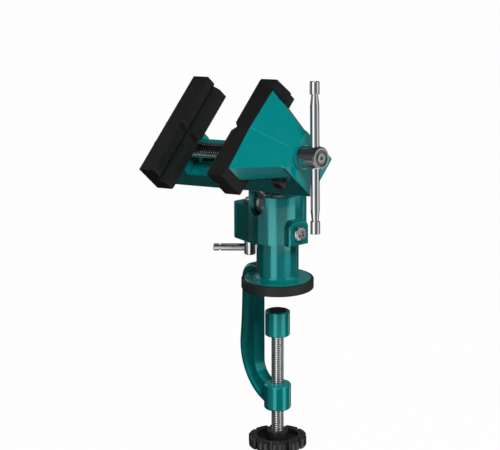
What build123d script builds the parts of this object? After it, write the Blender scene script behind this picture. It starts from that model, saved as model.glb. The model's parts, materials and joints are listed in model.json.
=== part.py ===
from build123d import *
from math import ceil, sqrt
import os

# Ball joint vise. Millimetres, +Z up. The origin is the middle of the rubber foot's underside,
# where the vise sits on a table top. The clamp's spine is at -X and the table comes in from +X.
# The head is drawn in its own frame, with the ball's centre as origin, +X along the spindle
# towards its handle and +Z up through the jaws, and is then tilted and turned on its ball.

# Pose of the head and the levers at rest
TILT_ANGLE = 44.0
SPIN_ANGLE = 10.0
TEE_ANGLE = 50.0
LEVER_ANGLE = -128.0

# Fits and allowances shared by all pieces
TURN_FIT = 0.06
SLIDE_FIT = 0.2
LOOSE_FIT = 0.5
FACE_GAP = 0.1
OVERRUN = 2.0

# Ball, neck and stud
BALL_RADIUS = 15.0
BALL_HEIGHT = 56.0
NECK_RADIUS = 5.5
NECK_LENGTH = 17.5
STUD_FLANGE_RADIUS = 8.6
STUD_FLANGE_HEIGHT = 2.4
STUD_SPIGOT_RADIUS = 5.0
STUD_BOLT_RADIUS = 3.0
STUD_BOLT_LENGTH = 12.0
STUD_BOLT_HEAD_RADIUS = 7.2
STUD_BOLT_HEAD_HEIGHT = 1.5
STUD_BOLT_HEX = 4.0

# Flange, rubber foot and column
FOOT_FLOOR = 2.6
FOOT_LIP = 1.6
FOOT_DROP = 0.5
FOOT_EDGE_FILLET = 0.8
FLANGE_RADIUS = 21.6
FLANGE_HEIGHT = 4.6
FLANGE_EDGE_FILLET = 1.2
FLANGE_TOP = FOOT_FLOOR + FLANGE_HEIGHT
FOOT_RADIUS = FLANGE_RADIUS + FOOT_LIP
FOOT_HEIGHT = FLANGE_TOP - FOOT_DROP
COLUMN_SHARE = 0.9
COLUMN_RADIUS = COLUMN_SHARE * BALL_RADIUS
COLUMN_ROOT_FILLET = 2.0

# C-shaped spine and its lower boss
THROAT_HEIGHT = 64.4
SPINE_INSET = 2.9
SPINE_DEPTH = 12.1
SPINE_WIDTH = 12.0
SPINE_LUG_HEIGHT = 5.2
SPINE_LEAN = 2.2
SPINE_BEND_RISE = 24.4
SPINE_THROAT_BEND_RISE = 11.1
SPINE_SHOULDER_SHARE = 0.95
SPINE_RIM_SHARE = 0.3
SPINE_POCKET_SHARE = 0.17
SPINE_POCKET_INSET = 2.1
SPINE_EDGE_FILLET = 2.2
LOWER_BOSS_RADIUS = 8.75
LOWER_BOSS_HEIGHT = 17.4
LOWER_BOSS_EDGE_FILLET = 1.6
ARM_SHARE = 0.75
ARM_RISE = 1.9
SPINE_INNER = FLANGE_RADIUS - SPINE_INSET
SPINE_OUTER = SPINE_INNER + SPINE_DEPTH
SPINE_TOP = FLANGE_TOP + SPINE_LUG_HEIGHT
SPINE_SHOULDER_RADIUS = SPINE_SHOULDER_SHARE * SPINE_DEPTH
SPINE_RIM = SPINE_RIM_SHARE * SPINE_DEPTH
SPINE_POCKET_DEPTH = SPINE_POCKET_SHARE * SPINE_WIDTH
LOWER_BOSS_TOP = -THROAT_HEIGHT
LOWER_BOSS_BOTTOM = LOWER_BOSS_TOP - LOWER_BOSS_HEIGHT
SPINE_BEND_Z = LOWER_BOSS_TOP + SPINE_BEND_RISE
SPINE_THROAT_BEND_Z = LOWER_BOSS_TOP + SPINE_THROAT_BEND_RISE
ARM_HEIGHT = ARM_SHARE * LOWER_BOSS_HEIGHT

# Socket round the ball, with heights as shares of the ball's radius from its centre
BALL_FIT = 0.15
SOCKET_WALL = 3.25
SOCKET_RIM_FILLET = 1.0
NOTCH_ROOM = 2.6
NOTCH_EDGE_FILLET = 0.7
SEAT_BALL_GAP = 0.04
SOCKET_TOP_SHARE = 0.533
SOCKET_BOTTOM_SHARE = 1.567
NOTCH_SHARE = 0.36
SPIGOT_TOP_SHARE = 0.733
SPIGOT_FLOOR_SHARE = 1.093
SPIGOT_RECESS_SHARE = 0.713
SEAT_SHARE = 0.267
SOCKET_BORE = BALL_RADIUS + BALL_FIT
SOCKET_RADIUS = SOCKET_BORE + SOCKET_WALL
SPIGOT_RADIUS = SOCKET_BORE - TURN_FIT
SOCKET_TOP = BALL_HEIGHT + SOCKET_TOP_SHARE * BALL_RADIUS
SOCKET_BOTTOM = BALL_HEIGHT - SOCKET_BOTTOM_SHARE * BALL_RADIUS
NOTCH_BOTTOM = BALL_HEIGHT - NOTCH_SHARE * BALL_RADIUS
NOTCH_WIDTH = 2 * NECK_RADIUS + NOTCH_ROOM
SPIGOT_TOP = BALL_HEIGHT - SPIGOT_TOP_SHARE * BALL_RADIUS
SPIGOT_RECESS_FLOOR = BALL_HEIGHT - SPIGOT_FLOOR_SHARE * BALL_RADIUS
SPIGOT_RECESS_RADIUS = SPIGOT_RECESS_SHARE * BALL_RADIUS
SEAT_HEIGHT = SEAT_SHARE * BALL_RADIUS

# Boss and screw in front of the socket
FRONT_BOSS_PROUD = 3.6
FRONT_BOSS_WIDTH = 15.6
FRONT_BOSS_HEIGHT_SHARE = 1.0467
FRONT_BOSS_CORNER = 4.5
SOCKET_SCREW_RISE_SHARE = 0.54
SOCKET_SCREW_RADIUS = 2.5
SOCKET_SCREW_HEAD_RADIUS = 4.75
SOCKET_SCREW_HEAD_HEIGHT = 2.6
SOCKET_SCREW_TIP_SHARE = 0.747
CROSS_LENGTH = 5.2
CROSS_WIDTH = 1.2
CROSS_DEPTH = 1.5
FRONT_BOSS_FACE = SOCKET_RADIUS + FRONT_BOSS_PROUD
FRONT_BOSS_TOP = SOCKET_BOTTOM + FRONT_BOSS_HEIGHT_SHARE * BALL_RADIUS
SOCKET_SCREW_HEIGHT = SOCKET_BOTTOM + SOCKET_SCREW_RISE_SHARE * BALL_RADIUS
SOCKET_SCREW_TIP = SOCKET_SCREW_TIP_SHARE * BALL_RADIUS

# Brake shoe, cam shaft and the lock block behind the socket
SHOE_BALL_GAP = 0.1
SHOE_SHARE = 0.2
SHOE_DROP_SHARE = 0.7
SHOE_TIP_SHARE = 0.633
SHAFT_BEHIND_SOCKET = 10.6
SHAFT_RADIUS = 4.2
SHAFT_TOP_RADIUS = 2.9
SHAFT_PROUD = 2.7
SHAFT_SPIGOT_RADIUS = 2.0
CAM_RADIUS = 3.4
CAM_OFFSET = 0.4
CAM_GAP = 0.12
RING_RADIUS = 4.3
RING_HEIGHT = 1.2
BLOCK_BEHIND_SHAFT = 9.0
BLOCK_WIDTH = 13.0
BLOCK_ROOF = 2.0
BLOCK_FILLET = 1.2
BLOCK_PANEL_RIM = 2.2
BLOCK_PANEL_DEPTH = 0.7
BLOCK_DROP_SHARE = 0.277
SHOE_RADIUS = SHOE_SHARE * BALL_RADIUS
SHOE_HEIGHT = BALL_HEIGHT - SHOE_DROP_SHARE * BALL_RADIUS
SHOE_TIP = SHOE_TIP_SHARE * BALL_RADIUS
SHAFT_OFFSET = SOCKET_RADIUS + SHAFT_BEHIND_SOCKET
SHOE_BACK = -SHAFT_OFFSET + CAM_RADIUS + CAM_OFFSET + CAM_GAP
COLUMN_LENGTH = SOCKET_BOTTOM - FLANGE_TOP
BLOCK_END = SHAFT_OFFSET + BLOCK_BEHIND_SHAFT
BLOCK_BOTTOM = SOCKET_BOTTOM - BLOCK_DROP_SHARE * COLUMN_LENGTH
BLOCK_TOP = SHOE_HEIGHT + SHOE_RADIUS + BLOCK_ROOF
SHAFT_TOP = BLOCK_TOP + SHAFT_PROUD

# Lock lever under the block
HUB_RADIUS = 3.7
HUB_HEIGHT_SHARE = 0.391
HUB_EDGE_CHAMFER = 0.5
LEVER_RADIUS = 2.35
LEVER_REACH = 23.6
LEVER_TIP_LENGTH = 3.6
LEVER_NECK_LENGTH = 1.2
LEVER_NECK_RADIUS = 1.7
LEVER_THREAD_RADIUS = 1.5
LEVER_TIP_CHAMFER = 0.5
LEVER_HEIGHT_SHARE = 0.465
HUB_HEIGHT = HUB_HEIGHT_SHARE * COLUMN_LENGTH
HUB_BOTTOM = BLOCK_BOTTOM - HUB_HEIGHT
LEVER_HEIGHT = HUB_BOTTOM + LEVER_HEIGHT_SHARE * HUB_HEIGHT

# Clamp screw, its foot and its knob
BOARD_GAP = 15.0
PAD_RADIUS = 8.0
PAD_HEIGHT = 17.0
PAD_WALL = 2.4
PAD_FLOOR = 8.0
PAD_EDGE_FILLET = 0.8
CAP_THICKNESS = 2.0
CAP_PROUD = 0.6
CLAMP_SCREW_RADIUS = 4.0
CLAMP_PITCH = 1.25
CLAMP_THREAD_DEPTH = 0.7
CLAMP_JOURNAL_RADIUS = 2.8
CLIP_RADIUS = 4.6
CLIP_HEIGHT = 1.0
CLIP_OVER_FLOOR = 0.2
KNOB_RADIUS = 19.0
KNOB_LOBES = 10
KNOB_CORE_SHARE = 0.8
KNOB_RIDGE_SHARE = 0.126
KNOB_RIDGE_ANGLE = 6.5
KNOB_DROP = 17.9
KNOB_HEIGHT = 7.4
KNOB_EDGE_FILLET = 1.8
KNOB_DISH_SHARE = 0.71
KNOB_DISH_DEPTH = 4.4
KNOB_HUB_RADIUS = 7.0
KNOB_HUB_RISE = 3.2
SCREW_IN_KNOB = 6.0
PAD_TOP = -BOARD_GAP
PAD_BOTTOM = PAD_TOP - PAD_HEIGHT
KNOB_TOP = LOWER_BOSS_BOTTOM - KNOB_DROP
KNOB_CORE_RADIUS = KNOB_CORE_SHARE * KNOB_RADIUS
KNOB_RIDGE_RADIUS = KNOB_RIDGE_SHARE * KNOB_RADIUS
KNOB_DISH_RADIUS = KNOB_DISH_SHARE * KNOB_RADIUS

# Bed of the head, in the head's frame
BED_THICKNESS = 13.5
BED_HALF_WIDTH = 14.3
BED_TAIL = 11.7
BED_EDGE_FILLET = 1.4
SLOT_WIDTH = 10.0
SLOT_WIDE = 16.0
SLOT_END_WALL = 5.0
SLOT_LIP_SHARE = 0.37
SLOT_FLOOR_SHARE = 0.304
BED_BOTTOM = BALL_RADIUS + NECK_LENGTH
BED_TOP = BED_BOTTOM + BED_THICKNESS
SLOT_FLOOR = BED_BOTTOM + SLOT_FLOOR_SHARE * BED_THICKNESS
SLOT_LIP_BOTTOM = BED_TOP - SLOT_LIP_SHARE * BED_THICKNESS
STUD_SEAT = BED_BOTTOM - FACE_GAP
STUD_LEDGE_TOP = SLOT_FLOOR - STUD_BOLT_HEAD_HEIGHT - FACE_GAP

# Spindle, its head, the screw that keeps it and the sliding bar
SPINDLE_RADIUS = 5.0
SPINDLE_PITCH = 2.0
SPINDLE_THREAD_DEPTH = 1.1
SPINDLE_BED_GAP = 2.4
SPINDLE_TAIL = 7.7
SPINDLE_RUNOUT = 3.7
SPINDLE_HEAD_STEP = 1.95
SPINDLE_HEAD_LENGTH = 13.5
SPINDLE_HEAD_CHAMFER = 0.7
SPINDLE_FACE_RECESS_SHARE = 0.75
SPINDLE_FACE_BUTTON_SHARE = 0.43
SPINDLE_FACE_RECESS_DEPTH = 0.6
SPINDLE_CENTRE_RADIUS = 1.1
SPINDLE_CENTRE_DEPTH = 2.5
WASHER_LIP = 0.3
WASHER_THICKNESS = 1.0
REAR_BOSS_LIP = 1.1
REAR_BOSS_HEIGHT = 1.0
RETAINER_RADIUS = 2.5
RETAINER_BITE = 1.7
RETAINER_INSET = 8.8
RETAINER_HEAD_RADIUS = 4.8
RETAINER_HEAD_HEIGHT = 6.0
RETAINER_HEAD_PROUD = 4.0
RETAINER_HEX = 4.8
RETAINER_HEX_DEPTH = 2.4
RETAINER_REACH = 6.0
TEE_RADIUS = 2.8
TEE_LENGTH = 92.0
TEE_PLACE_SHARE = 0.589
TEE_TAPER_LENGTH = 6.5
TEE_NECK_RADIUS = 2.1
TEE_CAP_RADIUS = 3.0
TEE_CAP_LENGTH = 8.0
TEE_CAP_CHAMFER = 0.4
TEE_CAP_BORE_DEPTH = 6.0
SPINDLE_HEIGHT = BED_TOP + SPINDLE_RADIUS + SPINDLE_BED_GAP
SPINDLE_HEAD_RADIUS = SPINDLE_RADIUS + SPINDLE_HEAD_STEP
WASHER_RADIUS = SPINDLE_HEAD_RADIUS + WASHER_LIP
REAR_BOSS_RADIUS = WASHER_RADIUS + REAR_BOSS_LIP
RETAINER_HEIGHT = SPINDLE_HEIGHT - SPINDLE_RADIUS - RETAINER_RADIUS + RETAINER_BITE

# Jaws and soft jaws
JAW_RISE = 28.2
JAW_HALF_WIDTH = 29.6
JAW_DEPTH = 23.6
JAW_TAPER_SHARE = 0.89
JAW_SLOPE_SHARE = 0.8475
JAW_RIDGE_RISE = 1.2
JAW_WING_SHARE = 0.479
JAW_WAIST_RISE = 6.0
JAW_EDGE_FILLET = 0.8
JAW_OPENING = 46.0
FIXED_JAW_FACE = 39.7
SOFT_OVERHANG = 6.8
SOFT_THICKNESS = 14.2
SOFT_HEIGHT = 19.5
SOFT_EDGE_FILLET = 1.4
SOFT_GROOVE_DEPTH = 4.0
SOFT_GROOVE_DROP = 10.0
SOFT_CROSS_GROOVE_DEPTH = 3.0
TONGUE_HEIGHT = 4.0
TONGUE_DEPTH = 3.0
TONGUE_DROP = 9.0
TONGUE_END_WALL = 5.6
HOOK_LENGTH = 9.2
HOOK_SLANT = 4.1
HOOK_THICKNESS = 7.0
HOOK_HEIGHT = 8.6
JAW_TOP = SPINDLE_HEIGHT + JAW_RISE
JAW_WAIST_Z = BED_TOP + JAW_WAIST_RISE
JAW_WING_HEIGHT = JAW_WING_SHARE * JAW_RISE
JAW_TAPER_LENGTH = JAW_TAPER_SHARE * JAW_DEPTH
JAW_SLOPE_DROP = JAW_SLOPE_SHARE * JAW_DEPTH
JAW_SLOPE_LENGTH = sqrt(JAW_DEPTH**2 + JAW_SLOPE_DROP**2)
SOFT_HALF_WIDTH = JAW_HALF_WIDTH + SOFT_OVERHANG
TONGUE_HALF_LENGTH = JAW_HALF_WIDTH - TONGUE_END_WALL
FIXED_JAW_BACK = FIXED_JAW_FACE + JAW_DEPTH
MOVABLE_JAW_FACE = FIXED_JAW_FACE - JAW_OPENING - 2 * SOFT_THICKNESS
MOVABLE_JAW_BACK = MOVABLE_JAW_FACE - JAW_DEPTH

# Movable jaw's guide and nut, and the stop at the bed's end
KEEPER_LENGTH_SHARE = 0.8475
KEEPER_SCREW_SPACING_SHARE = 0.55
KEEPER_SCREW_RADIUS = 2.0
KEEPER_SCREW_HEAD_RADIUS = 3.6
KEEPER_SCREW_HEAD_SHARE = 0.5
KEEPER_SCREW_INSET = 1.8
NUT_WALL = 1.6
NUT_LENGTH_SHARE = 0.636
NUT_PROUD = 1.0
STOP_SCREW_INSET = 4.0
STOP_SCREW_RADIUS = 2.0
STOP_SCREW_HEAD_RADIUS = 3.5
STOP_SCREW_HEAD_HEIGHT = 3.0
STOP_SCREW_HEX = 3.0
KEEPER_LENGTH = KEEPER_LENGTH_SHARE * JAW_DEPTH
KEEPER_SCREW_SPACING = KEEPER_SCREW_SPACING_SHARE * KEEPER_LENGTH
KEEPER_BOTTOM = SLOT_FLOOR + SLIDE_FIT
KEEPER_TOP = SLOT_LIP_BOTTOM - SLIDE_FIT
KEEPER_SCREW_HEAD_HEIGHT = KEEPER_SCREW_HEAD_SHARE * (KEEPER_TOP - KEEPER_BOTTOM)
KEEPER_SCREW_TOP = BED_TOP - KEEPER_SCREW_INSET
NUT_RADIUS = SPINDLE_RADIUS + NUT_WALL
NUT_LENGTH = NUT_LENGTH_SHARE * JAW_DEPTH

# Places along the bed and the spindle
BED_END = MOVABLE_JAW_BACK - BED_TAIL
SPINDLE_END = MOVABLE_JAW_BACK - SPINDLE_TAIL
SPINDLE_THREAD_START = FIXED_JAW_FACE - SPINDLE_RUNOUT
RETAINER_X = FIXED_JAW_FACE + RETAINER_INSET
WASHER_SEAT = FIXED_JAW_BACK + REAR_BOSS_HEIGHT
SPINDLE_HEAD_SEAT = WASHER_SEAT + WASHER_THICKNESS
SPINDLE_HEAD_END = SPINDLE_HEAD_SEAT + SPINDLE_HEAD_LENGTH
TEE_X = SPINDLE_HEAD_SEAT + TEE_PLACE_SHARE * SPINDLE_HEAD_LENGTH

HEAD = Pos(0, 0, BALL_HEIGHT) * Rot(TILT_ANGLE, 0, 0) * Rot(0, 0, SPIN_ANGLE)
LEVER = Pos(-SHAFT_OFFSET, 0, LEVER_HEIGHT) * Rot(0, 0, LEVER_ANGLE)
TEE = Pos(TEE_X, 0, SPINDLE_HEIGHT) * Rot(-TEE_ANGLE, 0, 0)
ON_BASE = (Align.CENTER, Align.CENTER, Align.MIN)


# Simple solids placed by their limits
def disc(radius, bottom, top):
    return Pos(0, 0, bottom) * Cylinder(radius, top - bottom, align=ON_BASE)


def slab(x0, x1, y0, y1, z0, z1):
    return Pos((x0 + x1) / 2, (y0 + y1) / 2, (z0 + z1) / 2) * Box(x1 - x0, y1 - y0, z1 - z0)


def bar_x(radius, x0, x1, z):
    return Pos(x0, 0, z) * Rot(0, 90, 0) * disc(radius, 0, x1 - x0)


def bar_y(radius, y0, y1, x, z):
    return Pos(x, y0, z) * Rot(-90, 0, 0) * disc(radius, 0, y1 - y0)


def prism(points, plane, start, end):
    outline = make_face(Polyline(*points, close=True))
    return extrude(plane.offset(start) * outline, end - start)


def threaded_rod(radius, depth, pitch, bottom, top):
    turns = ceil((top - bottom) / pitch)
    step = (top - bottom) / turns
    root = radius - depth
    points = [(0, bottom), (root, bottom)]
    for turn in range(turns):
        points += [(radius, bottom + (turn + 0.5) * step), (root, bottom + (turn + 1) * step)]
    points.append((0, top))
    return revolve(Plane.XZ * make_face(Polyline(*points, close=True)), Axis.Z)


def cross_recess(length, width, depth):
    arm = Box(length, width, depth)
    return arm + Rot(0, 0, 90) * arm


# Base: column, flange, spine and lower boss as one casting
def spine_outline(rim, beyond):
    outer = -SPINE_OUTER + rim
    inner = -SPINE_INNER + beyond
    top = SPINE_TOP - rim
    arm_bottom = LOWER_BOSS_BOTTOM + LOWER_BOSS_EDGE_FILLET + ARM_RISE
    foot = arm_bottom + rim
    throat = arm_bottom + ARM_HEIGHT + beyond
    shoulder = outer + SPINE_SHOULDER_RADIUS
    with BuildSketch(Plane.XZ) as sketch:
        with BuildLine():
            top_edge = Line((0, top), (shoulder, top))
            shoulder_arc = TangentArc(top_edge @ 1, (outer, top - SPINE_SHOULDER_RADIUS), tangent=(-1, 0))
            back = TangentArc(shoulder_arc @ 1, (outer - SPINE_LEAN, SPINE_BEND_Z), tangent=(0, -1))
            bend = TangentArc(back @ 1, (-LOWER_BOSS_RADIUS, foot), tangent=back % 1)
            under = Line(bend @ 1, (0, foot))
            inside = Line(under @ 1, (0, throat))
            ledge = Line(inside @ 1, (-LOWER_BOSS_RADIUS, throat))
            throat_arc = TangentArc((inner, SPINE_THROAT_BEND_Z), ledge @ 1, tangent=(0, -1))
            front = Line(throat_arc @ 0, (inner, FLANGE_TOP - rim))
            web = Line(front @ 1, (0, FLANGE_TOP - rim))
            Line(web @ 1, top_edge @ 0)
        make_face()
    return sketch.sketch


def make_clamp_frame():
    half = SPINE_WIDTH / 2
    spine = extrude(spine_outline(0, 0), half, both=True)
    outer_edges = [
        edge for edge in spine.edges()
        if abs(abs(edge.center().Y) - half) < TURN_FIT
        and edge.bounding_box().min.X < -SPINE_OUTER + TURN_FIT
    ]
    spine = fillet(outer_edges, SPINE_EDGE_FILLET)
    pocket = extrude(spine_outline(SPINE_RIM, OVERRUN), half + OVERRUN, both=True)
    pocket -= slab(
        SPINE_POCKET_INSET - FLANGE_RADIUS, OVERRUN, -2 * half, 2 * half, FOOT_FLOOR, SPINE_TOP)
    pocket -= slab(
        -SPINE_OUTER - OVERRUN, OVERRUN, SPINE_POCKET_DEPTH - half, half - SPINE_POCKET_DEPTH,
        LOWER_BOSS_BOTTOM, SPINE_TOP + OVERRUN)
    spine -= pocket
    flange = disc(FLANGE_RADIUS, FOOT_FLOOR, FLANGE_TOP)
    flange = fillet(flange.edges().sort_by(Axis.Z)[-1:], FLANGE_EDGE_FILLET)
    column = disc(COLUMN_RADIUS, FOOT_FLOOR, SOCKET_BOTTOM + OVERRUN)
    upright = flange + column
    root = upright.edges().filter_by(GeomType.CIRCLE).filter_by_position(
        Axis.Z, FLANGE_TOP, FLANGE_TOP).filter_by(lambda edge: edge.radius == COLUMN_RADIUS)
    upright = fillet(root, COLUMN_ROOT_FILLET)
    spigot = disc(SPIGOT_RADIUS, SOCKET_BOTTOM, SPIGOT_TOP)
    boss = disc(LOWER_BOSS_RADIUS, LOWER_BOSS_BOTTOM, LOWER_BOSS_TOP)
    boss = fillet(boss.edges().filter_by(GeomType.CIRCLE), LOWER_BOSS_EDGE_FILLET)
    frame = upright + spigot + spine + boss
    frame -= disc(SPIGOT_RECESS_RADIUS, SPIGOT_RECESS_FLOOR, SPIGOT_TOP + OVERRUN)
    frame -= bar_x(SHOE_RADIUS + SLIDE_FIT, -SOCKET_RADIUS, 0, SHOE_HEIGHT)
    frame -= bar_x(SOCKET_SCREW_RADIUS, 0, SOCKET_RADIUS, SOCKET_SCREW_HEIGHT)
    frame -= disc(CLAMP_SCREW_RADIUS + TURN_FIT, LOWER_BOSS_BOTTOM - OVERRUN, LOWER_BOSS_TOP + OVERRUN)
    return frame


def make_base_ring():
    ring = disc(FOOT_RADIUS, 0, FOOT_HEIGHT)
    ring = fillet(ring.edges().filter_by(GeomType.CIRCLE), FOOT_EDGE_FILLET)
    ring -= disc(FLANGE_RADIUS, FOOT_FLOOR, FOOT_HEIGHT + OVERRUN)
    way = SPINE_WIDTH / 2 + SLIDE_FIT
    return ring - slab(
        -FOOT_RADIUS - OVERRUN, -SPINE_INNER + SLIDE_FIT, -way, way, -OVERRUN, FOOT_HEIGHT + OVERRUN)


# Socket with its lock block and front boss
def make_ball_socket():
    collar = disc(SOCKET_RADIUS, SOCKET_BOTTOM, SOCKET_TOP)
    collar = fillet(collar.edges().sort_by(Axis.Z)[-1:], SOCKET_RIM_FILLET)
    half = BLOCK_WIDTH / 2
    block = slab(-BLOCK_END, 0, -half, half, BLOCK_BOTTOM, BLOCK_TOP)
    block = fillet(
        block.edges().filter_by(lambda edge: edge.center().X < -BLOCK_END / 4), BLOCK_FILLET)
    panel = slab(
        -BLOCK_END + BLOCK_PANEL_RIM, -SOCKET_RADIUS - BLOCK_PANEL_RIM, half - BLOCK_PANEL_DEPTH,
        half + OVERRUN, BLOCK_BOTTOM + BLOCK_PANEL_RIM, BLOCK_TOP - BLOCK_PANEL_RIM)
    block -= panel + mirror(panel, Plane.XZ)
    boss_half = FRONT_BOSS_WIDTH / 2
    boss = slab(0, FRONT_BOSS_FACE, -boss_half, boss_half, SOCKET_BOTTOM, FRONT_BOSS_TOP)
    boss = fillet(
        boss.edges().filter_by(Axis.X).sort_by(Axis.Z)[-2:], FRONT_BOSS_CORNER)
    boss = fillet(boss.faces().sort_by(Axis.X)[-1].edges(), SOCKET_RIM_FILLET)
    socket = collar + block + boss
    socket -= disc(SOCKET_BORE, BLOCK_BOTTOM - OVERRUN, BALL_HEIGHT)
    socket -= Pos(0, 0, BALL_HEIGHT) * Sphere(SOCKET_BORE)
    notch_radius = NOTCH_WIDTH / 2
    notch_centre = NOTCH_BOTTOM + notch_radius
    notch = bar_y(notch_radius, -SOCKET_RADIUS - OVERRUN, 0, 0, notch_centre)
    notch += slab(
        -notch_radius, notch_radius, -SOCKET_RADIUS - OVERRUN, 0, notch_centre, SOCKET_TOP + OVERRUN)
    socket -= notch
    notch_edges = [
        edge for edge in socket.edges()
        if abs(edge.center().X) < NOTCH_WIDTH and edge.center().Y < -SOCKET_BORE - SOCKET_WALL / 2
        and edge.center().Z > NOTCH_BOTTOM - TURN_FIT
    ]
    socket = fillet(notch_edges, NOTCH_EDGE_FILLET)
    at_shaft = Pos(-SHAFT_OFFSET, 0, 0)
    shoulder = SHOE_HEIGHT + SHOE_RADIUS
    socket -= at_shaft * disc(SHAFT_RADIUS + TURN_FIT, BLOCK_BOTTOM - OVERRUN, shoulder)
    socket -= at_shaft * disc(SHAFT_TOP_RADIUS + TURN_FIT, BLOCK_BOTTOM, BLOCK_TOP + OVERRUN)
    socket -= bar_x(SHOE_RADIUS + TURN_FIT, -SHAFT_OFFSET, 0, SHOE_HEIGHT)
    socket -= bar_x(
        SOCKET_SCREW_RADIUS + SLIDE_FIT, 0, FRONT_BOSS_FACE + OVERRUN, SOCKET_SCREW_HEIGHT)
    return socket


def make_socket_screw():
    screw = bar_x(SOCKET_SCREW_RADIUS, SOCKET_SCREW_TIP, FRONT_BOSS_FACE, SOCKET_SCREW_HEIGHT)
    head_end = FRONT_BOSS_FACE + SOCKET_SCREW_HEAD_HEIGHT
    head = bar_x(SOCKET_SCREW_HEAD_RADIUS, FRONT_BOSS_FACE, head_end, SOCKET_SCREW_HEIGHT)
    head = fillet(head.edges().sort_by(Axis.X)[-1:], SOCKET_SCREW_HEAD_HEIGHT / 2)
    recess = Pos(head_end, 0, SOCKET_SCREW_HEIGHT) * Rot(45, 90, 0) * cross_recess(
        CROSS_LENGTH, CROSS_WIDTH, 2 * CROSS_DEPTH)
    return screw + head - recess


def make_ball_seat():
    seat = disc(SPIGOT_RADIUS, SPIGOT_TOP, SPIGOT_TOP + SEAT_HEIGHT)
    seat -= disc(SPIGOT_RECESS_RADIUS, SPIGOT_TOP - OVERRUN, SPIGOT_TOP + SEAT_HEIGHT + OVERRUN)
    seat -= Pos(0, 0, BALL_HEIGHT) * Sphere(BALL_RADIUS + SEAT_BALL_GAP)
    return seat - bar_x(SHOE_RADIUS + SLIDE_FIT, -SOCKET_RADIUS, 0, SHOE_HEIGHT)


def make_brake_shoe():
    shoe = bar_x(SHOE_RADIUS, SHOE_BACK, -SHOE_TIP, SHOE_HEIGHT)
    return shoe - Pos(0, 0, BALL_HEIGHT) * Sphere(BALL_RADIUS + SHOE_BALL_GAP)


# Cam shaft, its ring and the lock lever
def make_cam_shaft():
    shoulder = SHOE_HEIGHT + SHOE_RADIUS
    cam_bottom = SHOE_HEIGHT - SHOE_RADIUS
    shaft = disc(SHAFT_SPIGOT_RADIUS, HUB_BOTTOM, BLOCK_BOTTOM)
    shaft += disc(SHAFT_RADIUS, BLOCK_BOTTOM, cam_bottom - FACE_GAP)
    shaft += Pos(CAM_OFFSET, 0, 0) * disc(CAM_RADIUS, cam_bottom - FACE_GAP, shoulder - FACE_GAP)
    shaft += disc(SHAFT_TOP_RADIUS, shoulder - FACE_GAP, SHAFT_TOP)
    return Pos(-SHAFT_OFFSET, 0, 0) * shaft


def make_shaft_ring():
    bottom = BLOCK_TOP + FACE_GAP
    ring = disc(RING_RADIUS, bottom, bottom + RING_HEIGHT)
    return Pos(-SHAFT_OFFSET, 0, 0) * (ring - disc(SHAFT_TOP_RADIUS, BLOCK_TOP, SHAFT_TOP))


def make_lever_hub():
    top = BLOCK_BOTTOM - FACE_GAP
    hub = disc(HUB_RADIUS, HUB_BOTTOM, top)
    hub = chamfer(hub.edges().filter_by(GeomType.CIRCLE), HUB_EDGE_CHAMFER)
    hub -= disc(SHAFT_SPIGOT_RADIUS, HUB_BOTTOM - OVERRUN, top + OVERRUN)
    hole = bar_x(LEVER_THREAD_RADIUS, 0, HUB_RADIUS + OVERRUN, LEVER_HEIGHT)
    return Pos(-SHAFT_OFFSET, 0, 0) * (hub - Rot(0, 0, LEVER_ANGLE) * hole)


def make_lever_rod():
    tip_start = LEVER_REACH - LEVER_TIP_LENGTH
    neck_start = tip_start - LEVER_NECK_LENGTH
    tip = bar_x(LEVER_RADIUS, tip_start, LEVER_REACH, 0)
    tip = chamfer(tip.edges().sort_by(Axis.X)[-1:], LEVER_TIP_CHAMFER)
    rod = bar_x(LEVER_RADIUS, HUB_RADIUS, neck_start, 0)
    rod += bar_x(LEVER_NECK_RADIUS, neck_start, tip_start, 0) + tip
    rod += bar_x(LEVER_THREAD_RADIUS, SHAFT_SPIGOT_RADIUS, HUB_RADIUS, 0)
    hub_clear = disc(HUB_RADIUS, -HUB_RADIUS, HUB_RADIUS) - bar_x(
        LEVER_THREAD_RADIUS, 0, HUB_RADIUS + OVERRUN, 0)
    spigot_clear = disc(SHAFT_SPIGOT_RADIUS, -HUB_RADIUS, HUB_RADIUS)
    return LEVER * (rod - hub_clear - spigot_clear)


# Clamp screw with its foot and knob
def make_pressure_pad():
    rim_top = PAD_TOP - CAP_PROUD
    pad = disc(PAD_RADIUS, PAD_BOTTOM, rim_top)
    pad = fillet(pad.edges().filter_by(GeomType.CIRCLE), PAD_EDGE_FILLET)
    pad -= disc(PAD_RADIUS - PAD_WALL, PAD_BOTTOM + PAD_FLOOR, rim_top + OVERRUN)
    return pad - disc(CLAMP_JOURNAL_RADIUS + TURN_FIT, PAD_BOTTOM - OVERRUN, rim_top)


def make_pad_cap():
    return disc(PAD_RADIUS - PAD_WALL, PAD_TOP - CAP_THICKNESS, PAD_TOP)


def make_pad_clip():
    bottom = PAD_BOTTOM + PAD_FLOOR + CLIP_OVER_FLOOR
    ring = disc(CLIP_RADIUS, bottom, bottom + CLIP_HEIGHT)
    return ring - disc(CLAMP_JOURNAL_RADIUS, bottom - OVERRUN, bottom + CLIP_HEIGHT + OVERRUN)


def make_clamp_screw():
    shoulder = PAD_BOTTOM - FACE_GAP
    journal_top = PAD_BOTTOM + PAD_FLOOR + CLIP_OVER_FLOOR + 2 * CLIP_HEIGHT
    screw = threaded_rod(
        CLAMP_SCREW_RADIUS, CLAMP_THREAD_DEPTH, CLAMP_PITCH, KNOB_TOP + KNOB_HUB_RISE, shoulder)
    screw += disc(CLAMP_JOURNAL_RADIUS, shoulder, journal_top)
    shank = CLAMP_SCREW_RADIUS - CLAMP_THREAD_DEPTH
    return screw + disc(shank, KNOB_TOP - SCREW_IN_KNOB, KNOB_TOP + KNOB_HUB_RISE)


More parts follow.
